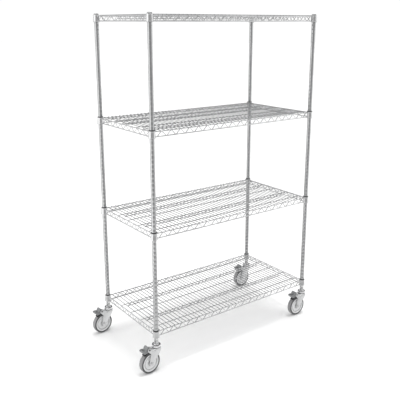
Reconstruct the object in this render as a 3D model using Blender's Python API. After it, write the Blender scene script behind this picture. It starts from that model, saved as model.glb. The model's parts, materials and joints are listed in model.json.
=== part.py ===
"""Wire shelf cart: four welded wire shelves clamped to four round posts, on four braked swivel casters.

Metres, +Z up. The floor is z = 0 and the origin is under the middle of the whole cart's box. +X runs
along the shelves' long side, -Y is the front, and the casters trail towards -X.
"""

import math

import bmesh
import bpy
from mathutils import Matrix, Vector

# Driving dimensions.
INCH = 0.0254
GAP = 0.0003                                # between pieces that touch on the real cart

POST_SPACING = (46.0 * INCH, 22.5 * INCH)   # between post axes, along X and along Y
POST_RADIUS = 0.5 * INCH
POST_WALL = 0.0012
POST_FOOT = 0.162
CAP_HEIGHT = 0.003
CAP_PLUG = 0.012

SLEEVE_TOPS = {                             # height of the top of each shelf's clamping sleeves
    "bottom": 9.6 * INCH,
    "lower": 32.6 * INCH,
    "upper": 54.6 * INCH,
    "top": 77.6 * INCH,
}
SLEEVE_LENGTH = 0.0445
SLEEVE_RADII = (0.0149, 0.0170)             # outside, at the top and at the bottom
COLLAR_BOTTOM = 0.0432                      # below the sleeve's top
COLLAR_RADII = (0.0172, 0.0195)             # outside, at the top and at the bottom

DECK_DROP = 0.0045                          # deck surface, below the sleeve's top
DECK_PITCH = 1.0 * INCH
DECK_WIRE = 0.003
RAIL = 0.0057
RAIL_ENDS = (0.0161, 0.0180)                # from the post's axis, of the top and of the bottom rail
TRUSS_DEPTH = 0.0305                        # between the top and the bottom rails' middles
STRUT = 0.004
STRUTS_LONG = 5                             # slanted struts between the rails of a long side
STRUTS_SHORT = 3
STRUTS_SUPPORT = 3
SUPPORT = 0.0045                            # lengthwise wires under the deck
SUPPORT_DEPTH = 0.014                       # between such a wire and the lower one hung from it
SUPPORT_SHORT = 2.5 * INCH                  # the lower wire ends this far from the post's axis
SUPPORTS = {0.1: False, 0.3: True, 0.5: False, 0.7: True, 0.9: False}   # place across: with a lower wire

WHEEL_RADIUS = 0.0635
WHEEL_WIDTH = 0.032
CORE_RADIUS = 0.0533
TRAIL = 0.0495                              # the wheel's axle, behind the swivel axis
TRAIL_ANGLES = {                            # each trailing direction, turned from -X towards the front
    "front_left": math.radians(5),
    "front_right": 0,
    "rear_left": math.radians(5),
    "rear_right": 0,
}
AXLE_RADIUS = 0.004
AXLE_HEAD = (0.007, 0.004)                  # radius and thickness of the bolt's head and its nut
LEG_INSIDE = 0.0195                         # half the clear width of the fork
LEG_WALL = 0.0025
FORK_WIDTH = 2 * (LEG_INSIDE + LEG_WALL)
LEG_END = 0.0135                            # radius of the leg's foot, round the axle
EAR_RADIUS = 0.0125                         # of the raised ear round the pedal's pin
CROWN_TOP = 0.146
CROWN_RADIUS = 0.027
CROWN_DEPTH = 0.0065
BRIDGE_ENDS = (-0.034, 0.0165)              # plate between the legs under the crown, along X

STEM_RADIUS = 0.005
STEM_TOP = 0.214
SEAT_RADIUS = 0.0135
RACE_RADII = (0.020, 0.0245)                # underneath and at its rim
RACE_HEIGHTS = (0.002, 0.010, 0.0115)       # rim's foot, rim's top and the hub, over the race's underside
RIVET_HEAD = (0.008, 0.0022)                # radius and thickness
ADAPTER_ENDS = (0.166, 0.212)               # its foot and its top

PEDAL_PIVOT = (-0.062, 0.150)               # along X and up, in the caster's own frame
PEDAL_PIN = 0.0024
PEDAL_WIDTH = 0.034
SHOE_PIVOT = (-0.022, 0.133)
SHOE_PIN = 0.0022
SHOE_EYE = 0.0052
SHOE_WIDTH = 0.028
SHOE_RADII = (0.0672, 0.0697)               # under and over the strip, from the wheel's axle

POST_FACETS = 12
WHEEL_FACETS = 20
PIN_FACETS = 12

CORNERS = {"front_left": (-1, -1), "front_right": (1, -1), "rear_left": (-1, 1), "rear_right": (1, 1)}


# Shapes.

def turned(profile, facets, slit=0):
    """Turns a closed outline of (radius to the flats, height) about Z, less the facets of a slit."""
    shape = bmesh.new()
    stretch = 1 / math.cos(math.pi / facets)
    rings = []
    for step in range(facets - slit + min(slit, 1)):
        angle = math.tau * (step + 0.5) / facets
        ring = []
        for index, (radius, height) in enumerate(profile):
            if radius == 0 and rings:
                ring.append(rings[0][index])
                continue
            reach = radius * stretch
            ring.append(shape.verts.new((reach * math.cos(angle), reach * math.sin(angle), height)))
        rings.append(ring)
    pairs = list(zip(rings, rings[1:]))
    if slit:
        shape.faces.new(rings[0])
        shape.faces.new(rings[-1])
    else:
        pairs.append((rings[-1], rings[0]))
    for ring, following in pairs:
        for index in range(len(profile)):
            corners = [ring[index - 1], ring[index], following[index], following[index - 1]]
            corners = list(dict.fromkeys(corners))
            if len(corners) > 2:
                shape.faces.new(corners)
    bmesh.ops.recalc_face_normals(shape, faces=shape.faces)
    return shape


def rod(radius, length, facets=PIN_FACETS):
    """A round bar along Z, centred on the origin."""
    half = length / 2
    return turned([(0, -half), (radius, -half), (radius, half), (0, half)], facets)


def plate(outline, thickness):
    """An outline of (x, z) points, given thickness along Y and centred on it."""
    shape = bmesh.new()
    sides = []
    for y in (-thickness / 2, thickness / 2):
        sides.append([shape.verts.new((x, y, z)) for x, z in outline])
    near, far = sides
    shape.faces.new(near)
    shape.faces.new(far)
    for index in range(len(outline)):
        shape.faces.new([near[index - 1], near[index], far[index], far[index - 1]])
    bmesh.ops.recalc_face_normals(shape, faces=shape.faces)
    return shape


def bar(start, end, size):
    """A square bar between the two points, with one pair of its sides upright."""
    along = Vector(end) - Vector(start)
    shape = bmesh.new()
    turn = along.to_track_quat("X", "Z").to_matrix().to_4x4()
    middle = Matrix.Translation((Vector(start) + Vector(end)) / 2)
    scale = Matrix.Diagonal((along.length, size, size, 1))
    bmesh.ops.create_cube(shape, size=1, matrix=middle @ turn @ scale)
    return shape


def moved(shape, matrix):
    bmesh.ops.transform(shape, matrix=matrix, verts=shape.verts)
    return shape


def crosswise(shape):
    """Turns a shape made along Z so that it lies along Y."""
    return moved(shape, Matrix.Rotation(math.pi / 2, 4, "X"))


def arc(centre, radius, first, last, steps):
    """Points on an arc, in degrees, with both ends."""
    points = []
    for step in range(steps + 1):
        angle = math.radians(first + (last - first) * step / steps)
        points.append((centre[0] + radius * math.cos(angle), centre[1] + radius * math.sin(angle)))
    return points


def as_object(shape, name):
    mesh = bpy.data.meshes.new(name)
    shape.to_mesh(mesh)
    shape.free()
    result = bpy.data.objects.new(name, mesh)
    bpy.context.scene.collection.objects.link(result)
    return result


def combined(shapes, operation, tools):
    """Joins the tools to the first shape, or cuts them from it, and gives one mesh."""
    base = as_object(shapes, "base")
    group = bpy.data.collections.new("tools")
    bpy.context.scene.collection.children.link(group)
    for tool in tools:
        piece = as_object(tool, "tool")
        group.objects.link(piece)
    step = base.modifiers.new("combine", "BOOLEAN")
    step.operation = operation
    step.operand_type = "COLLECTION"
    step.collection = group
    step.solver = "EXACT"
    graph = bpy.context.evaluated_depsgraph_get()
    result = bmesh.new()
    result.from_object(base, graph)
    flat = math.radians(0.1)
    bmesh.ops.dissolve_limit(result, angle_limit=flat, verts=result.verts, edges=result.edges)
    for piece in [base, *group.objects]:
        bpy.data.objects.remove(piece)
    bpy.data.collections.remove(group)
    return result


def welded(shapes):
    return combined(shapes[0], "UNION", shapes[1:])


def cut(shape, tools):
    return combined(shape, "DIFFERENCE", tools)


# Finishes: colour, roughness and metallic.

def finish(name, colour, roughness, metallic):
    material = bpy.data.materials.new(name)
    material.use_nodes = True
    shader = material.node_tree.nodes["Principled BSDF"]
    shader.inputs["Base Color"].default_value = (*colour, 1)
    shader.inputs["Roughness"].default_value = roughness
    shader.inputs["Metallic"].default_value = metallic
    return material


def make_finishes():
    return {
        "post": finish("post_chrome", (0.62, 0.63, 0.65), 0.18, 1),
        "shelf": finish("shelf_chrome", (0.70, 0.71, 0.73), 0.22, 1),
        "cap": finish("cap_plastic", (0.30, 0.31, 0.33), 0.45, 0),
        "sleeve": finish("sleeve_plastic", (0.04, 0.04, 0.045), 0.5, 0),
        "steel": finish("caster_zinc", (0.72, 0.73, 0.75), 0.25, 1),
        "nylon": finish("adapter_nylon", (0.75, 0.75, 0.73), 0.5, 0),
        "core": finish("wheel_core", (0.80, 0.81, 0.82), 0.4, 0),
        "tyre": finish("wheel_tyre", (0.16, 0.165, 0.17), 0.6, 0),
        "pedal": finish("pedal_plastic", (0.25, 0.26, 0.27), 0.45, 0),
        "shoe": finish("brake_steel", (0.08, 0.08, 0.085), 0.45, 1),
    }


def place(name, shape, material, parent, location=(0, 0, 0)):
    """Makes the shape into a named node with its finish, on its parent."""
    node = as_object(shape, name)
    node.data.materials.append(material)
    node.data.shade_smooth()
    node.data.set_sharp_from_angle(angle=math.radians(35))
    node.parent = parent
    node.location = location
    return node


def pivot(name, parent, location, turn=0):
    """An empty on a joint's axis."""
    empty = bpy.data.objects.new(name, None)
    bpy.context.scene.collection.objects.link(empty)
    empty.parent = parent
    empty.location = location
    empty.rotation_euler.z = turn
    return empty


# Posts.

def post_top():
    return SLEEVE_TOPS["top"] + 0.0004


def post_shape():
    inside = POST_RADIUS - POST_WALL
    low = POST_FOOT
    high = post_top()
    return turned([(inside, low), (POST_RADIUS, low), (POST_RADIUS, high), (inside, high)], POST_FACETS)


def cap_shape():
    """A rounded cap on the post's end, with a plug that goes inside the tube."""
    plug = POST_RADIUS - POST_WALL - GAP
    crown = 0.75 * POST_RADIUS
    return turned(
        [
            (0, -CAP_PLUG),
            (plug, -CAP_PLUG),
            (plug, GAP),
            (POST_RADIUS, GAP),
            (POST_RADIUS, CAP_HEIGHT / 2),
            (crown, CAP_HEIGHT),
            (0, CAP_HEIGHT),
        ],
        POST_FACETS,
    )


def sleeve_shape():
    """A tapered split sleeve, wide at its foot, slit on the side that faces +X."""
    top, bottom = SLEEVE_RADII
    inside = POST_RADIUS + GAP
    outline = [(inside, -SLEEVE_LENGTH), (bottom, -SLEEVE_LENGTH), (top, 0), (inside, 0)]
    return turned(outline, POST_FACETS, slit=1)


# Shelves. Each shelf's frame is at the middle of its deck surface.

def collar_shape():
    """A tapered steel collar round the sleeve, flush with the deck at its top."""
    bottom = DECK_DROP - COLLAR_BOTTOM
    sleeve_top, sleeve_bottom = SLEEVE_RADII
    top_radius, bottom_radius = COLLAR_RADII
    return turned(
        [
            (sleeve_bottom + GAP, bottom),
            (bottom_radius, bottom),
            (top_radius, 0),
            (sleeve_top + GAP, 0),
        ],
        POST_FACETS,
    )


def zigzag(start, end, depth, count):
    """Slanted struts that lean to and fro between a top rail and the rail under it."""
    start = Vector(start)
    end = Vector(end)
    drop = Vector((0, 0, -depth))
    struts = []
    for index in range(count):
        first = start.lerp(end, (index + 0.25) / count)
        second = start.lerp(end, (index + 0.75) / count)
        if index % 2:
            first, second = second, first
        struts.append(bar(first, second + drop, STRUT))
    return struts


def perimeter(half_x, half_y, level):
    """The four sides: top rail, bottom rail and struts, from collar to collar."""
    pieces = []
    for side in (-1, 1):
        x = side * half_x
        y = side * half_y
        for height, end in zip((level, level - TRUSS_DEPTH), RAIL_ENDS):
            pieces.append(bar((end - half_x, y, height), (half_x - end, y, height), RAIL))
            pieces.append(bar((x, end - half_y, height), (x, half_y - end, height), RAIL))
        pieces += zigzag((-half_x, y, level), (half_x, y, level), TRUSS_DEPTH, STRUTS_LONG)
        pieces += zigzag((x, -half_y, level), (x, half_y, level), TRUSS_DEPTH, STRUTS_SHORT)
    return pieces


def supports(half_x, half_y):
    """Lengthwise wires just under the deck wires. Some have a second wire hung below on struts."""
    level = -DECK_WIRE - 2 * GAP - SUPPORT / 2
    lower = level - SUPPORT_DEPTH
    short = half_x - SUPPORT_SHORT
    pieces = []
    for place_across, with_lower in SUPPORTS.items():
        y = half_y * (1 - 2 * place_across)
        pieces.append(bar((-half_x, y, level), (half_x, y, level), SUPPORT))
        if with_lower:
            pieces.append(bar((-short, y, lower), (short, y, lower), SUPPORT))
            pieces += zigzag((-short, y, level), (short, y, level), SUPPORT_DEPTH, STRUTS_SUPPORT)
    return pieces


def deck(half_x, half_y):
    """Wires across the shelf, from the front rail to the rear rail."""
    level = -GAP - DECK_WIRE / 2
    last = math.ceil(half_x / DECK_PITCH) - 1
    wires = []
    for index in range(-last, last + 1):
        x = index * DECK_PITCH
        wires.append(bar((x, -half_y, level), (x, half_y, level), DECK_WIRE))
    return wires


def shelf_shape():
    half_x, half_y = (spacing / 2 for spacing in POST_SPACING)
    pieces = []
    for side_x, side_y in CORNERS.values():
        spot = Matrix.Translation((side_x * half_x, side_y * half_y, 0))
        pieces.append(moved(collar_shape(), spot))
    pieces += perimeter(half_x, half_y, -RAIL / 2)
    pieces += supports(half_x, half_y)
    pieces += deck(half_x, half_y)
    return welded(pieces)


# Casters. Each caster's frame is on the floor, on its swivel axis, and trails towards its own -X.

def stem_shape():
    """King rivet, upper race, post seat and the stem that stands inside the post, turned in one."""
    rivet_radius, rivet_depth = RIVET_HEAD
    race_foot, race_rim = RACE_RADII
    race_low = CROWN_TOP + GAP
    rim_low, rim_high, hub_high = (race_low + height for height in RACE_HEIGHTS)
    rivet_top = CROWN_TOP - CROWN_DEPTH - GAP
    return turned(
        [
            (0, rivet_top - rivet_depth),
            (rivet_radius, rivet_top - rivet_depth),
            (rivet_radius, rivet_top),
            (STEM_RADIUS, rivet_top),
            (STEM_RADIUS, race_low),
            (race_foot, race_low),
            (race_rim, rim_low),
            (race_rim, rim_high),
            (SEAT_RADIUS, hub_high),
            (SEAT_RADIUS, POST_FOOT - GAP),
            (STEM_RADIUS, POST_FOOT - GAP),
            (STEM_RADIUS, STEM_TOP),
            (0, STEM_TOP),
        ],
        POST_FACETS,
    )


def adapter_shape():
    """The insert that grips the stem inside the foot of the post."""
    outside = POST_RADIUS - POST_WALL - GAP
    inside = STEM_RADIUS + GAP
    low, high = ADAPTER_ENDS
    return turned([(inside, low), (outside, low), (outside, high), (inside, high)], POST_FACETS)


def leg_outline():
    """Side view of the fork: an ear round the pedal's pin, and a leg swept back and down to the axle."""
    return [
        (-0.042, CROWN_TOP),
        *arc(PEDAL_PIVOT, EAR_RADIUS, 55, 215, 6),
        (-0.064, 0.133),
        (-0.053, 0.124),
        (-0.057, 0.112),
        (-0.060, 0.095),
        *arc((-TRAIL, WHEEL_RADIUS), LEG_END, 175, 325, 5),
        (-0.024, 0.075),
        (-0.010, 0.091),
        (0.003, 0.107),
        (0.0175, 0.128),
        (0.0175, CROWN_TOP),
    ]


def crown_shape():
    """A round crown on a plate that joins the two legs."""
    low = CROWN_TOP - CROWN_DEPTH
    crown = turned([(0, low), (CROWN_RADIUS, low), (CROWN_RADIUS, CROWN_TOP), (0, CROWN_TOP)], POST_FACETS)
    rear, front = BRIDGE_ENDS
    top = CROWN_TOP - 0.0005
    bottom = top - LEG_WALL
    bridge = plate([(rear, bottom), (front, bottom), (front, top), (rear, top)], FORK_WIDTH - 0.001)
    return [crown, bridge]


def fork_shape():
    """Crown, legs and the pins of the pedal and the shoe, with holes for the king rivet and the axle."""
    pieces = crown_shape()
    for side in (-1, 1):
        leg = plate(leg_outline(), LEG_WALL)
        pieces.append(moved(leg, Matrix.Translation((0, side * (LEG_INSIDE + LEG_WALL / 2), 0))))
    for radius, (x, z) in ((PEDAL_PIN, PEDAL_PIVOT), (SHOE_PIN, SHOE_PIVOT)):
        pin = crosswise(rod(radius, FORK_WIDTH - 0.001))
        pieces.append(moved(pin, Matrix.Translation((x, 0, z))))
    axle_hole = crosswise(rod(AXLE_RADIUS + GAP, 2 * FORK_WIDTH))
    king_hole = rod(STEM_RADIUS + GAP, 4 * CROWN_DEPTH)
    return cut(
        welded(pieces),
        [
            moved(axle_hole, Matrix.Translation((-TRAIL, 0, WHEEL_RADIUS))),
            moved(king_hole, Matrix.Translation((0, 0, CROWN_TOP))),
        ],
    )


def axle_shape():
    """A bolt through the fork's legs and the wheel, with its head and its nut outside the legs."""
    head, thickness = AXLE_HEAD
    shoulder = FORK_WIDTH / 2 + GAP
    end = shoulder + thickness
    return crosswise(turned(
        [
            (0, -end),
            (head, -end),
            (head, -shoulder),
            (AXLE_RADIUS, -shoulder),
            (AXLE_RADIUS, shoulder),
            (head, shoulder),
            (head, end),
            (0, end),
        ],
        PIN_FACETS,
    ))


def core_shape():
    """Wheel core: a long hub, a dished web and a rim under the tyre."""
    hub = LEG_INSIDE - GAP
    half = [(AXLE_RADIUS + GAP, hub), (0.014, hub), (0.017, 0.011), (CORE_RADIUS, 0.0137)]
    mirrored = [(radius, -height) for radius, height in reversed(half)]
    return crosswise(turned(half + mirrored, WHEEL_FACETS))


def tyre_shape():
    shoulder = WHEEL_WIDTH / 2
    inside = CORE_RADIUS + GAP
    half = [(inside, shoulder - 0.002), (0.060, shoulder), (WHEEL_RADIUS, shoulder - 0.006)]
    mirrored = [(radius, -height) for radius, height in reversed(half)]
    return crosswise(turned(half + mirrored, WHEEL_FACETS))


def pedal_shape():
    """A rocker with one lug up and one lug out behind the wheel. Its frame is on the pedal's pin."""
    pivot_x, pivot_z = PEDAL_PIVOT
    outline = [
        (-0.0475, 0.138),
        (-0.0475, 0.146),
        (-0.056, 0.154),
        (-0.066, 0.169),
        (-0.074, 0.168),
        (-0.079, 0.158),
        (-0.087, 0.154),
        (-0.106, 0.155),
        (-0.110, 0.150),
        (-0.098, 0.136),
        (-0.092, 0.130),
        (-0.074, 0.133),
        (-0.058, 0.1345),
    ]
    body = plate([(x - pivot_x, z - pivot_z) for x, z in outline], PEDAL_WIDTH)
    return cut(body, [crosswise(rod(PEDAL_PIN + GAP, 2 * PEDAL_WIDTH))])


def shoe_shape():
    """A curved steel strip over the tyre, with an eye round its pin. Its frame is on that pin."""
    pivot_x, pivot_z = SHOE_PIVOT
    centre = (-TRAIL - pivot_x, WHEEL_RADIUS - pivot_z)
    under, over = SHOE_RADII
    outline = [
        (0, 0.0045),
        *arc(centre, over, 85, 126, 5),
        *arc(centre, under, 126, 85, 5),
        (0, -0.0045),
    ]
    strip = plate(outline, SHOE_WIDTH)
    ring = crosswise(rod(SHOE_EYE, SHOE_WIDTH))
    return cut(welded([ring, strip]), [crosswise(rod(SHOE_PIN + GAP, 2 * SHOE_WIDTH))])


def caster_shapes():
    return {
        "stem": stem_shape(),
        "adapter": adapter_shape(),
        "fork": fork_shape(),
        "axle": axle_shape(),
        "core": core_shape(),
        "tyre": tyre_shape(),
        "pedal": pedal_shape(),
        "brake_shoe": shoe_shape(),
    }


def make_caster(corner, root, finishes):
    side_x, side_y = CORNERS[corner]
    name = "caster_" + corner
    spot = (side_x * POST_SPACING[0] / 2, side_y * POST_SPACING[1] / 2, 0)
    swivel = pivot(name + "_swivel_axis", root, spot, TRAIL_ANGLES[corner])
    wheel = pivot(name + "_wheel_axis", swivel, (-TRAIL, 0, WHEEL_RADIUS))
    pedal = pivot(name + "_pedal_axis", swivel, (PEDAL_PIVOT[0], 0, PEDAL_PIVOT[1]))
    shoe = pivot(name + "_shoe_axis", swivel, (SHOE_PIVOT[0], 0, SHOE_PIVOT[1]))
    shapes = caster_shapes()
    fixed = pivot(name + "_post_axis", root, spot)
    place(name + "_stem", shapes["stem"], finishes["steel"], fixed)
    place(name + "_adapter", shapes["adapter"], finishes["nylon"], fixed)
    place(name + "_fork", shapes["fork"], finishes["steel"], swivel)
    place(name + "_axle", shapes["axle"], finishes["steel"], swivel, wheel.location)
    place(name + "_core", shapes["core"], finishes["core"], wheel)
    place(name + "_tyre", shapes["tyre"], finishes["tyre"], wheel)
    place(name + "_pedal", shapes["pedal"], finishes["pedal"], pedal)
    place(name + "_brake_shoe", shapes["brake_shoe"], finishes["shoe"], shoe)


# The cart.

def make_posts(root, finishes):
    for corner, (side_x, side_y) in CORNERS.items():
        x = side_x * POST_SPACING[0] / 2
        y = side_y * POST_SPACING[1] / 2
        place("post_" + corner, post_shape(), finishes["post"], root, (x, y, 0))
        place("post_cap_" + corner, cap_shape(), finishes["cap"], root, (x, y, post_top()))


def make_shelves(root, finishes):
    for level, sleeve_top in SLEEVE_TOPS.items():
        place("shelf_" + level, shelf_shape(), finishes["shelf"], root, (0, 0, sleeve_top - DECK_DROP))
        for corner, (side_x, side_y) in CORNERS.items():
            spot = (side_x * POST_SPACING[0] / 2, side_y * POST_SPACING[1] / 2, sleeve_top)
            place(f"sleeve_{level}_{corner}", sleeve_shape(), finishes["sleeve"], root, spot)


def centre_on_origin(root):
    """Moves the cart so that the middle of its box is above the origin."""
    bpy.context.view_layer.update()
    points = []
    for node in bpy.context.scene.objects:
        if node.type == "MESH":
            points += [node.matrix_world @ vertex.co for vertex in node.data.vertices]
    for axis in range(2):
        values = [point[axis] for point in points]
        root.location[axis] = -(min(values) + max(values)) / 2


def main():
    for item in list(bpy.data.objects):
        bpy.data.objects.remove(item)
    finishes = make_finishes()
    root = pivot("cart", None, (0, 0, 0))
    make_posts(root, finishes)
    make_shelves(root, finishes)
    for corner in CORNERS:
        make_caster(corner, root, finishes)
    centre_on_origin(root)


main()
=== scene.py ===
"""Looks of the wire shelf cart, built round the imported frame. Metres, +Z up, as in the frame."""

import json
import math

import bmesh
import bpy
from mathutils import Matrix, Vector


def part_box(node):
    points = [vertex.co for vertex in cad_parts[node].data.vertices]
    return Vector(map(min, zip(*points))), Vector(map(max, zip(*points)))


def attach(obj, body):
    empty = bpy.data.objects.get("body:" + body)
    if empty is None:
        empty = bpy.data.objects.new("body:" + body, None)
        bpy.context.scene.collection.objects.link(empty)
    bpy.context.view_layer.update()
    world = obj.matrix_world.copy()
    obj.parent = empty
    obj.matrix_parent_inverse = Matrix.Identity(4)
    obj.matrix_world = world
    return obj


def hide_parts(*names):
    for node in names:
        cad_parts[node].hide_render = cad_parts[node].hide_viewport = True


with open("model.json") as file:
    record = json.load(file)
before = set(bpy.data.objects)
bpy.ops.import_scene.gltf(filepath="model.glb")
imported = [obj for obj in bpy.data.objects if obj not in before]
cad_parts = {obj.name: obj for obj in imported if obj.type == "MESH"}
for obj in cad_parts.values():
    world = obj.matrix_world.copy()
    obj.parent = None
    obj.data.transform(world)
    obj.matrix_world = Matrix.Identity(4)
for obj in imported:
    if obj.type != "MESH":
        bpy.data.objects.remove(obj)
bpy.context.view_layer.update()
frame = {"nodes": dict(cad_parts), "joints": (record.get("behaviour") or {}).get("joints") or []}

CORNERS = ("front_left", "front_right", "rear_left", "rear_right")
LEVELS = ("bottom", "lower", "upper", "top")
JOINTS = {joint["name"]: joint for joint in frame["joints"]}

# Posts.
POST_WALL = 0.0012
POST_CHAMFER = 0.0005
GROOVE_PITCH = 0.0254
GROOVE_DEPTH = 0.0003
GROOVE_HALF = 0.0014                  # half the groove's width
FOOT_REFLECTION_FADE = (0.040, 0.060)            # heights between which the painted reflection on the post's foot fades out

# Shelves. The wires' thicknesses are radii.
DECK_PITCH = 0.0254
DECK_WIRE = 0.0018
RAIL_WIRE = 0.0030
SNAKE_WIRE = 0.0020
SUPPORT_WIRE = 0.0026
RAIL_BITE = 0.0004                    # how far a rail sinks into the deck wires welded to it
SUPPORT_BITE = 0.0003                 # and a lengthwise wire
TRUSS_DEPTH = 0.0275                  # from the top rail down to the bottom rail
RAIL_ENDS = (0.0164, 0.0178)          # of the top and the bottom rail, from the post's axis
WELD_WIDTH = 0.0042                   # half the width of a weld bead, across its rail
WELD_LENGTH = 0.0030                  # and half its length
WELD_PLACE = 0.0022                   # from the rail's end
WAVE_PITCH = 0.0600                   # one whole wave of a zigzag wire
WAVE_STEPS = 12                       # pieces in one wave
SUPPORT_PLACES = (0.1, 0.3, 0.5, 0.7, 0.9)   # across the shelf, from its rear (0) to its front (1)
DOUBLED_PLACES = (0.3, 0.7)           # those with a lower wire
SUPPORT_DEPTH = 0.0160                # from a lengthwise wire down to its lower wire
SUPPORT_SHORT = 0.046                 # from the post's axis to the end of a lower wire
SLEEVE_LIP = 0.0165
TOP_SLEEVE_LIP = 0.0142
SLEEVE_FADE = (-0.022, -0.018)        # heights between which a top sleeve turns paler, its lip at 0
SLEEVE_SLIT = 0.11                    # radians

# Casters, in the caster's own frame: on the floor, under the swivel axis, trailing towards -X.
LEG_INSIDE = 0.0195
LEG_WALL = 0.0025
LEG_OUTSIDE = LEG_INSIDE + LEG_WALL
LEG_BEND = 0.0070                     # radius of the fold between the crown and a leg
FOLD_SLICES = 10
EAR_FRONT = -0.0345                   # behind this the fork's plate is all upright ear
CROWN_PLATE = 0.1422                  # middle height of the fork's plate under the crown
FORK_EDGE = 0.0003                    # widths of the rounding on edges
PEDAL_EDGE = 0.0018
SHOE_EDGE = 0.0004
AXLE_PLACE = (-0.0495, 0.0635)
PEDAL_PIN = (-0.062, 0.150)
PEDAL_WIDTH = 0.034
RIB_START = (-0.0265, 0.0048)         # from the pedal's pin
RIB_STEP = (-0.0045, 0.0004)
SHOE_WIDTH = 0.028
SHOE_CENTRE = (-0.0275, -0.0695)      # the wheel's axle, from the shoe's pin

# Camera: where it stands relative to the middle of the shelves, its turn from +Y and its tilt.
VIEW_PLACE = (-2.179, -2.855, 1.920)
VIEW_TURN = math.radians(36.54)
VIEW_TILT = math.radians(14.47)
VIEW_LENS = 53.24
VIEW_SHIFT = -0.06

# Studio. Greys of its walls run from behind the viewer (-1) to straight ahead (1), and from below to above.
# OPEN_GREYS is the white floor and ceiling, which are as bright on every side.
WALL_GREYS = ((-1.0, 0.42), (-0.7, 0.46), (-0.3, 0.60), (0.0, 0.74), (0.6, 0.86), (1.0, 1.0))
HEIGHT_GREYS = ((-1.0, 1.0), (-0.3, 0.95), (0.0, 1.0), (0.3, 1.0))
OPEN_GREYS = ((-1.0, 1.0), (-0.50, 0.95), (-0.18, 0.3), (0.0, 0.0), (0.4, 0.0), (0.7, 1.0))
FLOOR_RADIUS = 60
BACKDROP_RADIUS = 58
BACKDROP_HEIGHT = 45
SUN_POWER = 1.35
SUN_SPREAD = math.radians(9)
SUN_TURN = (math.radians(1), math.radians(5.5), 0)
SOFTBOXES = {                         # centre, the way it faces, width and height, power
    "left_softbox": ((-2.5, 0.3, 1.25), (1, 0, 0), (2.6, 3.4), 24),
    "front_softbox": ((3.6, -2.5, 1.25), (0, 1, 0), (3.2, 3.4), 26),
}


# Places.

def middle_of(node):
    low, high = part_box(node)
    return (low + high) / 2


def caster_frame(corner):
    """The caster's own frame, from its swivel and wheel joints."""
    swivel = Vector(JOINTS[corner + "_swivel_turn"]["pos_m"])
    wheel = Vector(JOINTS[corner + "_wheel_roll"]["pos_m"])
    back = swivel - wheel
    turn = Matrix.Rotation(math.atan2(back.y, back.x), 4, "Z")
    return Matrix.Translation((swivel.x, swivel.y, 0)) @ turn


def at_joint(corner, joint):
    """The caster's frame moved to one of its joints."""
    spot = Matrix.Translation(Vector(JOINTS[f"{corner}_{joint}"]["pos_m"]))
    return spot @ caster_frame(corner).to_3x3().to_4x4()


# Shapes.

def rounded(points, steps=4):
    """Curves an outline's corners. A point may have a third number, how far from it its curve starts."""
    most = 0.48                       # of a side's length, so that two curves never meet
    outline = []
    for index, point in enumerate(points):
        if len(point) == 2:
            outline.append(point)
            continue
        corner = Vector(point[:2])
        before = Vector(points[index - 1][:2]) - corner
        after = Vector(points[(index + 1) % len(points)][:2]) - corner
        first = corner + before.normalized() * min(point[2], before.length * most)
        last = corner + after.normalized() * min(point[2], after.length * most)
        for step in range(steps + 1):
            share = step / steps
            blend = first.lerp(corner, share).lerp(corner.lerp(last, share), share)
            outline.append(tuple(blend))
    return outline


def arc(centre, radius, first, last, steps):
    """Points on an arc, in degrees, with both ends."""
    points = []
    for step in range(steps + 1):
        angle = math.radians(first + (last - first) * step / steps)
        points.append((centre[0] + radius * math.cos(angle), centre[1] + radius * math.sin(angle)))
    return points


def add_turned(shape, profile, segments, matrix=None, slit=0.0):
    """Turns a closed outline of (radius, height) about Z, less an angle left open on the +X side."""
    matrix = matrix or Matrix.Identity(4)
    whole = slit == 0
    rings = []
    for step in range(segments if whole else segments + 1):
        angle = slit / 2 + (math.tau - slit) * step / segments
        ring = []
        for index, (radius, height) in enumerate(profile):
            if radius < 1e-7 and rings:
                ring.append(rings[0][index])
                continue
            spot = Vector((radius * math.cos(angle), radius * math.sin(angle), height))
            ring.append(shape.verts.new(matrix @ spot))
        rings.append(ring)
    pairs = list(zip(rings, rings[1:]))
    if whole:
        pairs.append((rings[-1], rings[0]))
    else:
        shape.faces.new(rings[0])
        shape.faces.new(rings[-1])
    for ring, following in pairs:
        for index in range(len(profile)):
            corners = [ring[index - 1], ring[index], following[index], following[index - 1]]
            corners = list(dict.fromkeys(corners))
            if len(corners) > 2:
                shape.faces.new(corners)


def turned(profile, segments, matrix=None, slit=0.0):
    """A shape of its own from one turned outline."""
    shape = bmesh.new()
    add_turned(shape, profile, segments, matrix, slit)
    return shape


def add_wire(shape, points, radius, sides):
    """A round wire along the points, with lightly chamfered ends."""
    points = [Vector(point) for point in points]
    normal = None
    rings = []
    for index, point in enumerate(points):
        before = points[max(index - 1, 0)]
        after = points[min(index + 1, len(points) - 1)]
        along = (after - before).normalized()
        if normal is None:
            normal = along.orthogonal().normalized()
        normal = (normal - along * normal.dot(along)).normalized()
        across = along.cross(normal)
        sizes = [(0, 1)]
        if index == 0:
            sizes = [(0, 0.75), (0.25, 1)]
        if index == len(points) - 1:
            sizes = [(-0.25, 1), (0, 0.75)]
        for offset, size in sizes:
            ring = []
            for side in range(sides):
                angle = math.tau * side / sides
                out = normal * math.cos(angle) + across * math.sin(angle)
                ring.append(shape.verts.new(point + along * offset * radius + out * size * radius))
            rings.append(ring)
    for ring, following in zip(rings, rings[1:]):
        for side in range(sides):
            shape.faces.new([ring[side - 1], ring[side], following[side], following[side - 1]])
    shape.faces.new(list(reversed(rings[0])))
    shape.faces.new(rings[-1])


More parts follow.
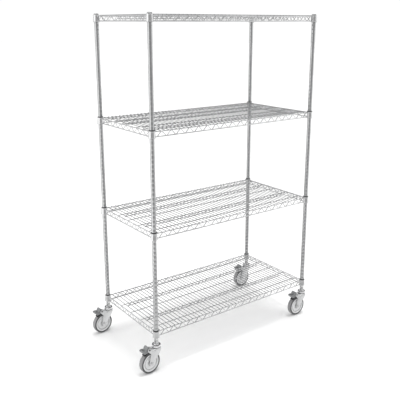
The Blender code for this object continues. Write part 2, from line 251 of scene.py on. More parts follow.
def snake_points(start, end, depth, waves):
    """A zigzag below the line from start to end, with round bends. It starts at the bottom."""
    start = Vector(start)
    end = Vector(end)
    tightness = 0.95
    reach = math.asin(tightness)
    points = []
    count = round(waves * WAVE_STEPS)
    for step in range(count + 1):
        share = step / count
        swing = -math.asin(tightness * math.cos(math.tau * waves * share)) / reach
        points.append(start.lerp(end, share) + Vector((0, 0, depth / 2 * (swing - 1))))
    return points


def add_weld(shape, centre, size):
    """A small flattened bead of weld metal."""
    matrix = Matrix.Translation(centre) @ Matrix.Diagonal((*size, 1))
    bmesh.ops.create_icosphere(shape, subdivisions=2, radius=1, matrix=matrix)


def plate(outline, thickness):
    """An outline of (x, z) points, given thickness along Y."""
    shape = bmesh.new()
    sides = []
    for y in (-thickness / 2, thickness / 2):
        sides.append([shape.verts.new((x, y, z)) for x, z in outline])
    near, far = sides
    shape.faces.new(near)
    shape.faces.new(far)
    for index in range(len(outline)):
        shape.faces.new([near[index - 1], near[index], far[index], far[index - 1]])
    return shape


def as_mesh(shape, name, sharp=40):
    """Makes the shape into a smooth mesh, with edges sharper than an angle in degrees left sharp."""
    bmesh.ops.recalc_face_normals(shape, faces=shape.faces)
    mesh = bpy.data.meshes.new(name)
    shape.to_mesh(mesh)
    shape.free()
    mesh.shade_smooth()
    mesh.set_sharp_from_angle(angle=math.radians(sharp))
    return mesh


def bevel(item, width, segments=2):
    """Rounds a piece's sharp edges, and closes up any faces of no area that this leaves."""
    edge = item.modifiers.new("edges", "BEVEL")
    edge.width = width
    edge.segments = segments
    edge.limit_method = "ANGLE"
    edge.angle_limit = math.radians(35)
    edge.use_clamp_overlap = False
    weld = item.modifiers.new("weld", "WELD")
    weld.merge_threshold = 0.000001


def thicken(item, thickness):
    """Gives a sheet its thickness, half to each side."""
    wall = item.modifiers.new("wall", "SOLIDIFY")
    wall.thickness = thickness
    wall.offset = 0


def add_object(name, data):
    item = bpy.data.objects.new(name, data)
    bpy.context.scene.collection.objects.link(item)
    return item


def add_piece(name, mesh, material, body, slot, matrix, replaced=()):
    """Puts a mesh into the scene as a piece that rides on a CAD body. It may stand in for CAD nodes."""
    item = add_object(name, mesh)
    if not mesh.materials:
        mesh.materials.append(material)
    item.matrix_world = matrix
    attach(item, body)
    if replaced:
        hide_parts(*replaced)
    return item


# Materials.

class Nodes:
    """Short calls for building one material's node tree."""

    def __init__(self, name):
        self.material = bpy.data.materials.new(name)
        self.material.use_nodes = True
        self.tree = self.material.node_tree
        self.shader = self.tree.nodes["Principled BSDF"]
        self.place = self.add("ShaderNodeTexCoord").outputs["Object"]

    def add(self, kind, **settings):
        node = self.tree.nodes.new(kind)
        for key, value in settings.items():
            setattr(node, key, value)
        return node

    def link(self, output, socket):
        self.tree.links.new(output, socket)

    def noise(self, scale, detail=4.0, stretch=(1, 1, 1), roughness=0.55):
        """Noise in the piece's own space, drawn out along an axis by a small stretch number."""
        mapping = self.add("ShaderNodeMapping")
        mapping.inputs["Scale"].default_value = stretch
        self.link(self.place, mapping.inputs["Vector"])
        node = self.add("ShaderNodeTexNoise")
        node.inputs["Scale"].default_value = scale
        node.inputs["Detail"].default_value = detail
        node.inputs["Roughness"].default_value = roughness
        self.link(mapping.outputs["Vector"], node.inputs["Vector"])
        return node.outputs["Fac"]

    def spread(self, value, low, high, to_low, to_high):
        """Maps a range of values to another, clamped."""
        node = self.add("ShaderNodeMapRange")
        numbers = (low, high, to_low, to_high)
        for name, number in zip(("From Min", "From Max", "To Min", "To Max"), numbers):
            node.inputs[name].default_value = number
        self.link(value, node.inputs["Value"])
        return node.outputs["Result"]

    def band(self, value, rise, fall):
        """1 between a rise and a fall, each given by its start and end, and 0 outside them."""
        return self.math("MULTIPLY", self.spread(value, *rise, 0, 1), self.spread(value, *fall, 1, 0))

    def mix(self, share, first, second):
        """Mixes two colours, each a colour or a node's output."""
        node = self.add("ShaderNodeMix", data_type="RGBA")
        self.link(share, node.inputs["Factor"])
        for name, colour in (("A", first), ("B", second)):
            socket = next(s for s in node.inputs if s.name == name and s.type == "RGBA")
            if isinstance(colour, tuple):
                socket.default_value = (*colour, 1)
            else:
                self.link(colour, socket)
        return next(s for s in node.outputs if s.type == "RGBA")

    def math(self, operation, first, second):
        node = self.add("ShaderNodeMath", operation=operation)
        for socket, value in zip(node.inputs, (first, second)):
            if isinstance(value, (int, float)):
                socket.default_value = value
            else:
                self.link(value, socket)
        return node.outputs["Value"]

    def bump(self, height, strength, distance):
        node = self.add("ShaderNodeBump")
        node.inputs["Strength"].default_value = strength
        node.inputs["Distance"].default_value = distance
        self.link(height, node.inputs["Height"])
        self.link(node.outputs["Normal"], self.shader.inputs["Normal"])

    def colour(self, output):
        self.link(output, self.shader.inputs["Base Color"])

    def roughness(self, output):
        self.link(output, self.shader.inputs["Roughness"])

    def axes(self):
        """X, Y and Z in the piece's own frame."""
        split = self.add("ShaderNodeSeparateXYZ")
        self.link(self.place, split.inputs["Vector"])
        return split.outputs

    def radius(self):
        """Distance from the piece's own Y axis."""
        axes = self.axes()
        across = self.math("MULTIPLY", axes["X"], axes["X"])
        up = self.math("MULTIPLY", axes["Z"], axes["Z"])
        return self.math("SQRT", self.math("ADD", across, up), 0)


def plated(name, bright, dull, shine, draw=(1, 1, 1), scratches=90.0, foot=None):
    """Chrome or zinc plate: cloudy patches, fine drawn marks and a little dulling. The foot may be painted
    paler, a painted reflection of the pale floor.
    """
    nodes = Nodes(name)
    nodes.shader.inputs["Metallic"].default_value = 1
    clouds = nodes.noise(9, 3)
    marks = nodes.noise(scratches, 6, draw, 0.7)
    plating = nodes.mix(nodes.spread(clouds, 0.35, 0.7, 0, 1), bright, dull)
    # painted reflection: the plating is paler below a set height, standing for the pale floor the foot
    # reflects
    if foot:
        plating = nodes.mix(nodes.spread(nodes.axes()["Z"], *FOOT_REFLECTION_FADE, 0, 1), foot, plating)
    nodes.colour(plating)
    low, high = shine
    haze = nodes.math("ADD", nodes.math("MULTIPLY", clouds, 0.5), nodes.math("MULTIPLY", marks, 0.5))
    nodes.roughness(nodes.spread(haze, 0.3, 0.7, low, high))
    nodes.bump(marks, 0.12, 0.0002)
    return nodes.material


def moulded(name, colour, wear_and_sheen, shine, grain=900.0, top=None):
    """Moulded plastic: fine grain, slow changes of tone and patches of wear, which on the pedal are painted
    highlights. The top may be paler.
    """
    nodes = Nodes(name)
    tone = nodes.noise(22, 4)
    # patches of the second colour: wear on most plastics, painted highlights on the pedal
    wear_and_sheen_patches = nodes.spread(nodes.noise(70, 5), 0.5, 0.75, 0, 1)
    base = nodes.mix(nodes.spread(tone, 0.3, 0.7, 0, 1), colour, tuple(part * 0.86 for part in colour))
    plastic = nodes.mix(nodes.math("MULTIPLY", wear_and_sheen_patches, 0.55), base, wear_and_sheen)
    if top:
        plastic = nodes.mix(nodes.spread(nodes.axes()["Z"], *SLEEVE_FADE, 0, 1), plastic, top)
    nodes.colour(plastic)
    low, high = shine
    nodes.roughness(nodes.spread(tone, 0.3, 0.7, low, high))
    nodes.bump(nodes.noise(grain, 3), 0.25, 0.00012)
    nodes.shader.inputs["Specular IOR Level"].default_value = 0.45
    return nodes.material


def rubber_tread():
    """Grey rubber: dark mottled sides, and a paler rolling surface with dust worked into it."""
    nodes = Nodes("tyre_rubber")
    mottle = nodes.spread(nodes.noise(60, 5), 0.3, 0.7, 0, 1)
    base = nodes.mix(mottle, (0.050, 0.051, 0.054), (0.080, 0.082, 0.086))
    edge = nodes.spread(nodes.radius(), 0.0612, 0.0630, 0, 1)
    dust = nodes.math("MULTIPLY", edge, nodes.spread(nodes.noise(35, 6), 0.35, 0.65, 0.7, 1))
    nodes.colour(nodes.mix(dust, base, (0.33, 0.33, 0.335)))
    nodes.roughness(nodes.spread(mottle, 0, 1, 0.5, 0.72))
    nodes.bump(nodes.noise(700, 4), 0.35, 0.0002)
    return nodes.material


def wheel_plastic():
    """Pale moulded wheel core, with painted shade in the ring's groove and round the hub."""
    nodes = Nodes("wheel_core_plastic")
    tone = nodes.spread(nodes.noise(30, 5), 0.3, 0.7, 0, 1)
    base = nodes.mix(tone, (0.82, 0.825, 0.83), (0.70, 0.705, 0.71))
    radius = nodes.radius()
    groove = nodes.band(radius, (0.0375, 0.0392), (0.0418, 0.0435))
    hub = nodes.band(radius, (0.0110, 0.0122), (0.0165, 0.0190))
    patches = nodes.spread(nodes.noise(120, 6), 0.3, 0.7, 0.5, 0.9)
    # painted shade: darker in the ring's groove and round the hub, in patches
    groove_and_hub_shade = nodes.math("MULTIPLY", nodes.math("MAXIMUM", groove, hub), patches)
    nodes.colour(nodes.mix(groove_and_hub_shade, base, (0.26, 0.26, 0.26)))
    nodes.roughness(nodes.spread(tone, 0, 1, 0.32, 0.46))
    nodes.bump(nodes.noise(800, 3), 0.2, 0.0001)
    return nodes.material


def make_materials():
    """Plating and plastics, each with its two tones and its range of roughness."""
    dark = ((0.030, 0.031, 0.034), (0.08, 0.08, 0.085), (0.38, 0.52))
    return {
        # the post's paler foot is a painted reflection of the pale floor
        "post": plated("post_chrome", (0.56, 0.565, 0.57), (0.46, 0.463, 0.467), (0.10, 0.22),
                       draw=(1, 1, 0.05), foot=(0.72, 0.723, 0.728)),
        "wire": plated("wire_chrome", (0.66, 0.664, 0.67), (0.54, 0.543, 0.548), (0.12, 0.26)),
        # painted shade: the deck wires' chrome is darker than the rails', standing for the dark surroundings
        # they reflect
        "deck": plated("deck_chrome_painted_shade", (0.30, 0.305, 0.31), (0.215, 0.22, 0.225), (0.12, 0.26)),
        # painted highlight: the collars' chrome is paler than the posts', standing for the bright reflections
        # on them
        "collar": plated("collar_chrome_painted_highlight", (0.76, 0.763, 0.768), (0.64, 0.643, 0.648), (0.12, 0.24)),
        "zinc": plated("caster_plate", (0.76, 0.765, 0.77), (0.62, 0.625, 0.63), (0.16, 0.30),
                       scratches=160),
        # painted highlight: the upper race's plating is near white, standing for the white band its rim
        # reflects
        "rim": plated("race_plate_painted_highlight", (0.94, 0.94, 0.95), (0.84, 0.84, 0.85), (0.10, 0.20),
                      scratches=200),
        "bolt": plated("bolt_steel", (0.74, 0.745, 0.75), (0.60, 0.605, 0.61), (0.20, 0.34),
                       scratches=260),
        # painted shade: the pedal pin is near black, standing for the shaded hole of a hollow rivet
        "rivet": plated("rivet_painted_shade", (0.060, 0.061, 0.064), (0.035, 0.035, 0.037), (0.30, 0.45),
                        scratches=260),
        "cap": moulded("cap_plastic", (0.50, 0.505, 0.51), (0.60, 0.605, 0.61), (0.36, 0.5)),
        "sleeve": moulded("sleeve_plastic", *dark),
        "top_sleeve": moulded("top_sleeve_plastic", *dark, top=(0.44, 0.445, 0.45)),
        "seal": moulded("seal_rubber", (0.035, 0.036, 0.038), (0.10, 0.10, 0.10), (0.5, 0.7)),
        "nylon": moulded("adapter_nylon", (0.68, 0.68, 0.66), (0.60, 0.60, 0.58), (0.4, 0.55)),
        # painted highlight: the pedal's pale patches stand for glints on its moulding
        "pedal": moulded("pedal_plastic", (0.240, 0.245, 0.250), (0.50, 0.505, 0.51), (0.26, 0.42),
                         grain=600),
        "shoe": moulded("shoe_paint", (0.018, 0.018, 0.020), (0.10, 0.10, 0.10), (0.3, 0.45),
                        grain=300),
        "core": wheel_plastic(),
        "tyre": rubber_tread(),
    }


# Posts.

def post_mesh():
    """A tube with a shallow groove every inch, its foot at height 0."""
    low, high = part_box("post_front_left")
    radius = (high.x - low.x) / 2
    bore = radius - POST_WALL
    length = high.z - low.z
    profile = [(bore, 0), (radius - POST_CHAMFER, 0), (radius, POST_CHAMFER)]
    level = GROOVE_PITCH
    while level < length - GROOVE_PITCH / 3:
        for step in range(-2, 3):
            depth = GROOVE_DEPTH * math.cos(step * math.pi / 4) ** 2
            profile.append((radius - depth, level + step * GROOVE_HALF / 2))
        level += GROOVE_PITCH
    profile += [(radius, length - POST_CHAMFER), (radius - POST_CHAMFER, length), (bore, length)]
    return as_mesh(turned(profile, 40), "grooved_post")


def cap_mesh():
    """A low domed cap with a rim, its underside at height 0."""
    return as_mesh(turned(rounded([
        (0, -0.012),
        (0.0108, -0.012, 0.001),
        (0.0108, 0.0003),
        (0.0127, 0.0003, 0.0003),
        (0.0129, 0.0020, 0.0010),
        (0.0100, 0.0029, 0.0012),
        (0.0, 0.0031),
    ]), 48), "post_cap")


def make_posts(materials):
    post = post_mesh()
    cap = cap_mesh()
    for corner in CORNERS:
        node = "post_" + corner
        low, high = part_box(node)
        centre = middle_of(node)
        foot = Matrix.Translation((centre.x, centre.y, low.z))
        top = Matrix.Translation((centre.x, centre.y, high.z))
        add_piece("grooved_" + node, post, materials["post"], "frame", "post", foot, [node])
        add_piece("cap_" + corner, cap, materials["cap"], "frame", "cap", top, ["post_cap_" + corner])


# Shelves. Each shelf's frame is at the middle of its deck surface.

def collar_profile():
    """A collar's wall, wider at both ends and tapered between them."""
    return rounded([
        (0.0152, 0, 0.0004),
        (0.0178, 0, 0.0010),
        (0.0180, -0.0034, 0.0010),
        (0.0173, -0.0044, 0.0010),
        (0.0191, -0.0346, 0.0010),
        (0.0198, -0.0356, 0.0010),
        (0.0198, -0.0387, 0.0012),
        (0.0174, -0.0387, 0.0004),
    ])


def add_side(shape, start, end, level):
    """One side: top and bottom rails with the zigzag wire between them, welded to the collars."""
    start = Vector((*start, level))
    end = Vector((*end, level))
    along = (end - start).normalized()
    bead = [WELD_WIDTH if abs(part) < 0.5 else WELD_LENGTH for part in along]
    for drop, reach in zip((0, TRUSS_DEPTH), RAIL_ENDS):
        lower = Vector((0, 0, -drop))
        first = start + along * reach + lower
        last = end - along * reach + lower
        add_wire(shape, [first, last], RAIL_WIRE, 12)
        add_weld(shape, first + along * WELD_PLACE, bead)
        add_weld(shape, last - along * WELD_PLACE, bead)
    gap = along * WAVE_PITCH / 2
    overlap = SNAKE_WIRE * 0.4
    inside = Vector((0, 0, -overlap))
    waves = math.floor((end - start).length / WAVE_PITCH) - 0.5      # so it ends at the top
    depth = TRUSS_DEPTH - 2 * overlap
    points = snake_points(start + gap + inside, end - gap + inside, depth, waves)
    add_wire(shape, points, SNAKE_WIRE, 8)


def add_supports(shape, half_x, half_y):
    """Lengthwise wires under the deck. Two of them carry a lower wire on a zigzag of their own."""
    level = -2 * DECK_WIRE - SUPPORT_WIRE + SUPPORT_BITE
    end_x = half_x - RAIL_WIRE / 2
    short = half_x - SUPPORT_SHORT
    for place in SUPPORT_PLACES:
        y = half_y * (1 - 2 * place)
        add_wire(shape, [(-end_x, y, level), (end_x, y, level)], SUPPORT_WIRE, 12)
        if place not in DOUBLED_PLACES:
            continue
        under = level - SUPPORT_DEPTH
        add_wire(shape, [(-short, y, under), (short, y, under)], SUPPORT_WIRE, 12)
        waves = round(2 * short / WAVE_PITCH)
        points = snake_points((-short, y, level), (short, y, level), SUPPORT_DEPTH, waves)
        add_wire(shape, points, SNAKE_WIRE, 8)


def truss_mesh(half_x, half_y):
    """The shelf's four sides and the lengthwise wires under its deck."""
    shape = bmesh.new()
    rail = -2 * DECK_WIRE - RAIL_WIRE + RAIL_BITE
    corners = [(-half_x, -half_y), (half_x, -half_y), (half_x, half_y), (-half_x, half_y)]
    for index, corner in enumerate(corners):
        add_side(shape, corners[index - 1], corner, rail)
    add_supports(shape, half_x, half_y)
    return as_mesh(shape, "shelf_truss")


def deck_mesh(half_x, half_y):
    """Close-set wires across the shelf, laid over the front and rear rails."""
    shape = bmesh.new()
    last = round(half_x / DECK_PITCH) - 1
    reach = half_y + RAIL_WIRE * 0.9
    for index in range(-last, last + 1):
        x = index * DECK_PITCH
        add_wire(shape, [(x, -reach, -DECK_WIRE), (x, reach, -DECK_WIRE)], DECK_WIRE, 10)
    return as_mesh(shape, "shelf_deck")


def collars_mesh(half_x, half_y):
    shape = bmesh.new()
    for side_x in (-1, 1):
        for side_y in (-1, 1):
            spot = Matrix.Translation((side_x * half_x, side_y * half_y, 0))
            add_turned(shape, collar_profile(), 48, spot)
    return as_mesh(shape, "shelf_collars")


def sleeve_mesh(lip):
    """A tapered split sleeve with a lip of the given radius, its top at height 0."""
    profile = rounded([
        (0.01285, -0.0445),
        (0.0171, -0.0445, 0.0006),
        (0.0169, -0.0425),
        (min(0.0150, lip), -0.0055, 0.0006),
        (lip - 0.0002, -0.0036, 0.0008),
        (lip, 0.0, 0.0012),
        (0.0135, 0.0, 0.0006),
        (0.01285, -0.0008),
    ])
    return as_mesh(turned(profile, 47, slit=SLEEVE_SLIT), "split_sleeve")


def make_shelves(materials):
    left = middle_of("post_front_left")
    right = middle_of("post_rear_right")
    half_x = (right.x - left.x) / 2
    half_y = (right.y - left.y) / 2
    truss = truss_mesh(half_x, half_y)
    deck = deck_mesh(half_x, half_y)
    collars = collars_mesh(half_x, half_y)
    sleeves = dict.fromkeys(LEVELS, (sleeve_mesh(SLEEVE_LIP), materials["sleeve"]))
    sleeves["top"] = (sleeve_mesh(TOP_SLEEVE_LIP), materials["top_sleeve"])
    for level in LEVELS:
        node = "shelf_" + level
        spot = Matrix.Translation((left.x + half_x, left.y + half_y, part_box(node)[1].z))
        add_piece("truss_" + node, truss, materials["wire"], "frame", "shelf", spot, [node])
        add_piece("deck_" + node, deck, materials["deck"], "frame", "shelf", spot)
        add_piece("collars_" + node, collars, materials["collar"], "frame", "shelf", spot)
        for corner in CORNERS:
            node = f"sleeve_{level}_{corner}"
            post = middle_of("post_" + corner)
            inward = math.atan2(-post.y, -post.x)
            spot = Matrix.Translation((post.x, post.y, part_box(node)[1].z)) @ Matrix.Rotation(inward, 4, "Z")
            add_piece("split_" + node, *sleeves[level], "frame", "sleeve", spot, [node])


# Casters.

def race_mesh():
    """The upper race: a turned dish with a bright rolled rim, the post's seat and the king rivet."""
    return as_mesh(turned(rounded([
        (0.0, 0.1366),
        (0.0060, 0.1368, 0.0010),
        (0.0080, 0.1388, 0.0008),
        (0.0050, 0.1390),
        (0.0050, 0.1466),
        (0.0240, 0.1466, 0.0010),
        (0.0266, 0.1478, 0.0014),
        (0.0273, 0.1530, 0.0020),
        (0.0266, 0.1588, 0.0014),
        (0.0238, 0.1592, 0.0010),
        (0.0226, 0.1566, 0.0010),
        (0.0168, 0.1566, 0.0006),
        (0.0160, 0.1600, 0.0010),
        (0.0136, 0.1616, 0.0005),
        (0.0050, 0.1617),
        (0.0050, 0.2130, 0.0008),
        (0.0, 0.2140),
    ]), 56), "upper_race")


def seal_mesh():
    """A dark dust seal round the post's foot, inside the race's rim."""
    return as_mesh(turned(rounded([
        (0.0166, 0.1567),
        (0.0225, 0.1567),
        (0.0231, 0.1586, 0.0006),
        (0.0180, 0.1594, 0.0008),
        (0.0166, 0.1592, 0.0004),
    ]), 48), "dust_seal")


def lower_race_mesh():
    """The rolled ring on the fork's crown."""
    return as_mesh(turned(rounded([
        (0.0056, 0.1402),
        (0.0200, 0.1400, 0.0020),
        (0.0262, 0.1394, 0.0010),
        (0.0271, 0.1412, 0.0014),
        (0.0266, 0.1436, 0.0010),
        (0.0235, 0.1440, 0.0008),
        (0.0056, 0.1440),
    ]), 56), "lower_race")


def shade_ring_mesh():
    """A dark ring between the two races, painted shade for the shadowed gap between them."""
    return as_mesh(turned(rounded([
        (0.0056, 0.1441),
        (0.0256, 0.1441, 0.0006),
        (0.0252, 0.1453, 0.0006),
        (0.0256, 0.1465, 0.0006),
        (0.0056, 0.1465),
    ]), 48), "race_shade_ring")


def fork_outline():
    """Side view of half the fork's flat blank, as (x, height once folded), from the front of the crown."""
    return rounded([
        (0.0175, 0.1352),
        (0.0175, 0.1280, 0.0060),
        (0.0030, 0.1070, 0.0080),
        (-0.0100, 0.0910, 0.0080),
        (-0.0240, 0.0750, 0.0080),
        *arc(AXLE_PLACE, 0.0135, 325, 175, 14),
        (-0.0600, 0.0950, 0.0080),
        (-0.0570, 0.1120, 0.0070),
        (-0.0530, 0.1240, 0.0050),
        (-0.0640, 0.1330, 0.0060),
        *arc(PEDAL_PIN, 0.0125, 215, 55, 14),
        (-0.0430, 0.1465, 0.0030),
        (-0.0375, 0.1440),
        (-0.0362, 0.1344, 0.0010),
        (EAR_FRONT, 0.1344, 0.0010),
    ])


def fold_lengths():
    """How far out the fold starts and ends, along the flat plate from the middle of the crown."""
    start = LEG_INSIDE + LEG_WALL / 2 - LEG_BEND
    return start, start + LEG_BEND * math.pi / 2


def folded(x, out, side):
    """Where a point of the flat blank goes when its leg is bent down. The brake ears stay upright."""
    start, end = fold_lengths()
    if x < EAR_FRONT or out > end:
        return Vector((x, side * (start + LEG_BEND), CROWN_PLATE - LEG_BEND - (out - end)))
    if out > start:
        angle = (out - start) / LEG_BEND
        level = CROWN_PLATE - LEG_BEND * (1 - math.cos(angle))
        return Vector((x, side * (start + LEG_BEND * math.sin(angle)), level))
    return Vector((x, side * out, CROWN_PLATE))


def add_fork_half(shape, side):
    """Cuts half the blank, slices it where it folds, and folds it."""
    start, end = fold_lengths()
    crown = [
        (-0.0340, 0.0),
        (0.0262, 0.0),
        (0.0256, 0.0060),
        (0.0236, 0.0115),
        (0.0205, 0.0160),
        (0.0175, 0.0200),
    ]
    leg = [(x, end + CROWN_PLATE - LEG_BEND - height) for x, height in fork_outline()]
    blank = bmesh.new()
    blank.faces.new([blank.verts.new((x, out, 0)) for x, out in crown + leg])
    bmesh.ops.triangulate(blank, faces=blank.faces)
    for step in range(FOLD_SLICES + 1):
        level = start + (end - start) * step / FOLD_SLICES
        geometry = blank.verts[:] + blank.edges[:] + blank.faces[:]
        bmesh.ops.bisect_plane(blank, geom=geometry, plane_co=(0, level, 0), plane_no=(0, 1, 0))
    placed = {vertex: shape.verts.new(folded(vertex.co.x, vertex.co.y, side)) for vertex in blank.verts}
    for face in blank.faces:
        shape.faces.new([placed[vertex] for vertex in face.verts])
    blank.free()


def fork_mesh():
    """A fork pressed from one plate: cut flat, then folded over the crown."""
    shape = bmesh.new()
    for side in (-1, 1):
        add_fork_half(shape, side)
    bmesh.ops.remove_doubles(shape, verts=shape.verts, dist=0.00002)
    return as_mesh(shape, "pressed_fork", 50)


def axle_mesh():
    """A hexagon bolt with washers and a lock nut, along Y with its middle at the origin."""
    turn = Matrix.Rotation(math.pi / 2, 4, "X")
    shape = bmesh.new()
    shank = [(0, -LEG_OUTSIDE), (0.0040, -LEG_OUTSIDE), (0.0040, LEG_OUTSIDE), (0, LEG_OUTSIDE)]
    add_turned(shape, shank, 24, turn)
    for side in (-1, 1):
        washer = [(0, 0), (0.0088, 0, 0.0004), (0.0088, 0.0013, 0.0004), (0, 0.0013)]
        head = [(0, 0.0013), (0.0066, 0.0013), (0.0066, 0.0042, 0.0006), (0.0045, 0.0050), (0, 0.0050)]
        place_out = Matrix.Translation((0, 0, side * LEG_OUTSIDE)) @ Matrix.Diagonal((1, 1, side, 1))
        add_turned(shape, rounded(washer, 2), 32, turn @ place_out)
        add_turned(shape, rounded(head, 2), 6, turn @ place_out)
    return as_mesh(shape, "axle_bolt", 30)


def wheel_part(half, segments, name):
    """Turns half an outline of (radius, place along the axle) and its mirror image about Y."""
    mirrored = [(point[0], -point[1], *point[2:]) for point in reversed(half)]
    profile = rounded(half + mirrored)
    return as_mesh(turned(profile, segments, Matrix.Rotation(math.pi / 2, 4, "X")), name)


def core_mesh():
    """Wheel core: hub, recess, raised ring and rim, the same on both faces."""
    half = [
        (0.0043, 0.0191),
        (0.0098, 0.0191, 0.0010),
        (0.0118, 0.0172, 0.0010),
        (0.0124, 0.0110, 0.0014),
        (0.0170, 0.0106, 0.0014),
        (0.0195, 0.0124, 0.0014),
        (0.0370, 0.0124, 0.0012),
        (0.0388, 0.0098, 0.0010),
        (0.0420, 0.0098, 0.0010),
        (0.0438, 0.0128, 0.0012),
        (0.0480, 0.0140, 0.0014),
        (0.0534, 0.0140, 0.0006),
    ]
    return wheel_part(half, 72, "wheel_core")


def tyre_mesh():
    """Tyre with a flat tread, round shoulders and a fine groove beside each shoulder."""
    half = [
        (0.0533, 0.0142),
        (0.0560, 0.0152, 0.0012),
        (0.0600, 0.0158, 0.0020),
        (0.0627, 0.0132, 0.0030),
        (0.0631, 0.0098, 0.0006),
        (0.0626, 0.0092, 0.0003),
        (0.0631, 0.0086, 0.0006),
        (0.0635, 0.0050, 0.0020),
    ]
    return wheel_part(half, 96, "tyre")


def pedal_outline():
    """Side view of the rocker pedal, about its own pin: an upper lug and a rear lug."""
    outline = rounded([
        (-0.0475, 0.1375, 0.003),
        (-0.0470, 0.1470, 0.004),
        (-0.0560, 0.1540, 0.003),
        (-0.0645, 0.1685, 0.002),
        (-0.0725, 0.1690, 0.002),
        (-0.0785, 0.1560, 0.003),
        (-0.0860, 0.1525, 0.003),
        (-0.1055, 0.1560, 0.002),
        (-0.1095, 0.1505, 0.002),
        (-0.0985, 0.1365, 0.004),
        (-0.0920, 0.1305, 0.002),
        (-0.0740, 0.1335, 0.003),
        (-0.0585, 0.1345, 0.002),
    ], 3)
    return [(x - PEDAL_PIN[0], z - PEDAL_PIN[1]) for x, z in outline]


def pedal_mesh():
    """The rocker pedal, with ribs on both sides of its rear lug."""
    shape = plate(pedal_outline(), PEDAL_WIDTH)
    for side in (-1, 1):
        for step in range(4):
            x = RIB_START[0] + RIB_STEP[0] * step
            z = RIB_START[1] + RIB_STEP[1] * step
            add_wire(shape, [(x, side * 0.003, z), (x, side * 0.0150, z)], 0.0009, 8)
    return as_mesh(shape, "rocker_pedal")


def shoe_mesh():
    """A curved strip over the tyre with an eye round its pin, about that pin."""
    outline = [
        *arc((0, 0), 0.0052, -60, 150, 10),
        *arc(SHOE_CENTRE, 0.0697, 84, 127, 12),
        *arc(SHOE_CENTRE, 0.0672, 127, 84, 12),
        (-0.0040, -0.0040),
    ]
    return as_mesh(plate(outline, SHOE_WIDTH), "brake_shoe")


def pin_mesh(name):
    """A riveted pin across the fork, along Y."""
    half = [
        (0, LEG_OUTSIDE + 0.0018),
        (0.0044, LEG_OUTSIDE + 0.0012, 0.0008),
        (0.0048, LEG_OUTSIDE),
        (0.0024, LEG_OUTSIDE),
    ]
    return wheel_part(half, 24, name)


def caster_meshes():
    return {
        "race": race_mesh(),
        "seal": seal_mesh(),
        "lower_race": lower_race_mesh(),
        "shade_ring": shade_ring_mesh(),
        "fork": fork_mesh(),
        "axle": axle_mesh(),
        "core": core_mesh(),
        "tyre": tyre_mesh(),
        "pedal": pedal_mesh(),
        "shoe": shoe_mesh(),
        "pedal_pin": pin_mesh("pedal_pin"),
        "shoe_pin": pin_mesh("shoe_pin"),
    }


def make_swivel(corner, meshes, materials):
    """The race under the post, and the fork that turns on it, with its pins and the wheel's bolt."""
    node = "caster_" + corner
    here = caster_frame(corner)
    swivel = corner + "_swivel"
    steel = "caster_steel"
    zinc = materials["zinc"]
    rim = materials["rim"]
    add_piece(corner + "_upper_race", meshes["race"], rim, "frame", steel, here, [node + "_stem"])
    add_piece(corner + "_dust_seal", meshes["seal"], materials["seal"], "frame", "sleeve", here)
    add_piece(corner + "_lower_race", meshes["lower_race"], zinc, swivel, steel, here)
    # the dark ring between the races is painted shade
    add_piece(corner + "_race_shade_ring", meshes["shade_ring"], materials["seal"], swivel, "sleeve", here)
    fork = add_piece(corner + "_fork", meshes["fork"], zinc, swivel, steel, here, [node + "_fork"])
    thicken(fork, LEG_WALL)
    bevel(fork, FORK_EDGE)
    # the pedal pin's dark finish is painted shade, for the hole of a hollow rivet
    for name, finish in (("pedal", "rivet"), ("shoe", "zinc")):
        spot = at_joint(corner, name + "_press")
        add_piece(f"{corner}_{name}_pin", meshes[name + "_pin"], materials[finish], swivel, steel, spot)
    axle = at_joint(corner, "wheel_roll")
    bolt = materials["bolt"]
    add_piece(corner + "_axle_bolt", meshes["axle"], bolt, swivel, steel, axle, [node + "_axle"])


def make_wheel(corner, meshes, materials):
    body = corner + "_wheel"
    axle = at_joint(corner, "wheel_roll")
    for name, part in (("wheel_core", "core"), ("tyre", "tyre")):
        slot = "wheel_" + part
        node = f"caster_{corner}_{part}"
        add_piece(f"{corner}_{name}", meshes[part], materials[part], body, slot, axle, [node])


def make_brake(corner, meshes, materials):
    """The rocker pedal and the shoe under it."""
    node = "caster_" + corner
    spot = at_joint(corner, "pedal_press")
    rocker = add_piece(corner + "_rocker_pedal", meshes["pedal"], materials["pedal"], corner + "_pedal",
                       "pedal", spot, [node + "_pedal"])
    bevel(rocker, PEDAL_EDGE, 3)
    spot = at_joint(corner, "shoe_press")
    strip = add_piece(corner + "_shoe_strip", meshes["shoe"], materials["shoe"], corner + "_shoe",
                      "brake_shoe", spot, [node + "_brake_shoe"])
    bevel(strip, SHOE_EDGE)


def keep_hidden_pieces(materials):
    """The adapters inside the posts keep their CAD shape."""
    for corner in CORNERS:
        node = frame["nodes"][f"caster_{corner}_adapter"]
        node.data.materials.clear()
        node.data.materials.append(materials["nylon"])


# Studio.

def make_floor():
    shape = bmesh.new()
    bmesh.ops.create_circle(shape, cap_ends=True, segments=96, radius=FLOOR_RADIUS)
    floor = add_object("floor", as_mesh(shape, "floor"))
    nodes = Nodes("floor_paper")
    tone = nodes.noise(1.5, 3)
    nodes.colour(nodes.mix(tone, (0.90, 0.90, 0.90), (0.87, 0.87, 0.87)))
    nodes.shader.inputs["Roughness"].default_value = 0.9
    nodes.shader.inputs["Specular IOR Level"].default_value = 0.1
    floor.data.materials.append(nodes.material)
    floor.visible_glossy = False


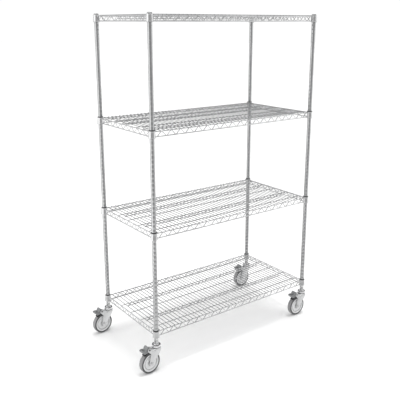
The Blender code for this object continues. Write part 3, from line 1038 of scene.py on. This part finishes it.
def make_backdrop():
    """A white wall all round, far off, which only the camera sees."""
    inside = BACKDROP_RADIUS
    outside = inside + 0.1
    profile = [(inside, 0), (inside, BACKDROP_HEIGHT), (outside, BACKDROP_HEIGHT), (outside, 0)]
    wall = add_object("backdrop", as_mesh(turned(profile, 96), "backdrop"))
    nodes = Nodes("backdrop_white")
    nodes.shader.inputs["Base Color"].default_value = (0, 0, 0, 1)
    nodes.shader.inputs["Emission Color"].default_value = (1, 1, 1, 1)
    nodes.shader.inputs["Emission Strength"].default_value = 1.0
    wall.data.materials.append(nodes.material)
    wall.visible_glossy = False
    wall.visible_diffuse = False
    wall.visible_shadow = False
    wall.visible_transmission = False


def world_ramp(tree, value, stops):
    """Greys along a value that runs from -1 to 1."""
    share = tree.nodes.new("ShaderNodeMapRange")
    share.inputs["From Min"].default_value = -1
    tree.links.new(value, share.inputs["Value"])
    ramp = tree.nodes.new("ShaderNodeValToRGB")
    elements = ramp.color_ramp.elements
    while len(elements) < len(stops):
        elements.new(0.5)
    for element, (position, grey) in zip(elements, stops):
        element.position = (position + 1) / 2
        element.color = (grey, grey, grey, 1)
    tree.links.new(share.outputs["Result"], ramp.inputs["Fac"])
    return ramp.outputs["Color"]


def world_math(tree, operation, first, second):
    """Works on two vectors, the second one a node's output or fixed."""
    node = tree.nodes.new("ShaderNodeVectorMath")
    node.operation = operation
    tree.links.new(first, node.inputs[0])
    if isinstance(second, tuple):
        node.inputs[1].default_value = second
    else:
        tree.links.new(second, node.inputs[1])
    return node.outputs


def make_world():
    """A studio for the plating to reflect: greyer behind the viewer, paler at the sides and on the floor."""
    world = bpy.data.worlds.new("studio")
    bpy.context.scene.world = world
    world.use_nodes = True
    tree = world.node_tree
    sky = tree.nodes.new("ShaderNodeTexCoord").outputs["Generated"]
    split = tree.nodes.new("ShaderNodeSeparateXYZ")
    tree.links.new(sky, split.inputs["Vector"])
    height = split.outputs["Z"]
    level_view = (math.sin(VIEW_TURN), math.cos(VIEW_TURN), 0)
    ahead = world_math(tree, "DOT_PRODUCT", sky, level_view)["Value"]
    walls = world_ramp(tree, ahead, WALL_GREYS)
    shaded = world_math(tree, "MULTIPLY", walls, world_ramp(tree, height, HEIGHT_GREYS))["Vector"]
    brightest = world_math(tree, "MAXIMUM", shaded, world_ramp(tree, height, OPEN_GREYS))["Vector"]
    tree.links.new(brightest, tree.nodes["Background"].inputs["Color"])


def make_softbox(name, centre, facing, size, power):
    """An upright light panel, which the plating reflects and the camera doesn't see."""
    data = bpy.data.lights.new(name, "AREA")
    data.shape = "RECTANGLE"
    data.size, data.size_y = size
    data.energy = power
    lamp = add_object(name, data)
    lamp.location = centre
    lamp.rotation_euler = Vector(facing).to_track_quat("-Z", "Y").to_euler()
    lamp.visible_camera = False


def make_sun():
    """Even light from near the zenith, soft enough to blur the wires' shadows into one."""
    data = bpy.data.lights.new("overhead", "SUN")
    data.energy = SUN_POWER
    data.angle = SUN_SPREAD
    lamp = add_object("overhead", data)
    lamp.rotation_euler = SUN_TURN
    lamp.visible_glossy = False


def make_lights():
    make_sun()
    for name, settings in SOFTBOXES.items():
        make_softbox(name, *settings)


def make_camera(centre):
    data = bpy.data.cameras.new("camera")
    data.lens = VIEW_LENS
    data.shift_y = VIEW_SHIFT
    camera = add_object("camera", data)
    camera.location = Vector((centre.x, centre.y, 0)) + Vector(VIEW_PLACE)
    level = math.cos(VIEW_TILT)
    ahead = Vector((math.sin(VIEW_TURN) * level, math.cos(VIEW_TURN) * level, -math.sin(VIEW_TILT)))
    camera.rotation_euler = ahead.to_track_quat("-Z", "Y").to_euler()
    bpy.context.scene.camera = camera


def main():
    bpy.context.scene.view_settings.view_transform = "Standard"
    materials = make_materials()
    centre = (middle_of("post_front_left") + middle_of("post_rear_right")) / 2
    make_posts(materials)
    make_shelves(materials)
    meshes = caster_meshes()
    for corner in CORNERS:
        make_swivel(corner, meshes, materials)
        make_wheel(corner, meshes, materials)
        make_brake(corner, meshes, materials)
    keep_hidden_pieces(materials)
    make_floor()
    make_backdrop()
    make_world()
    make_lights()
    make_camera(centre)


main()
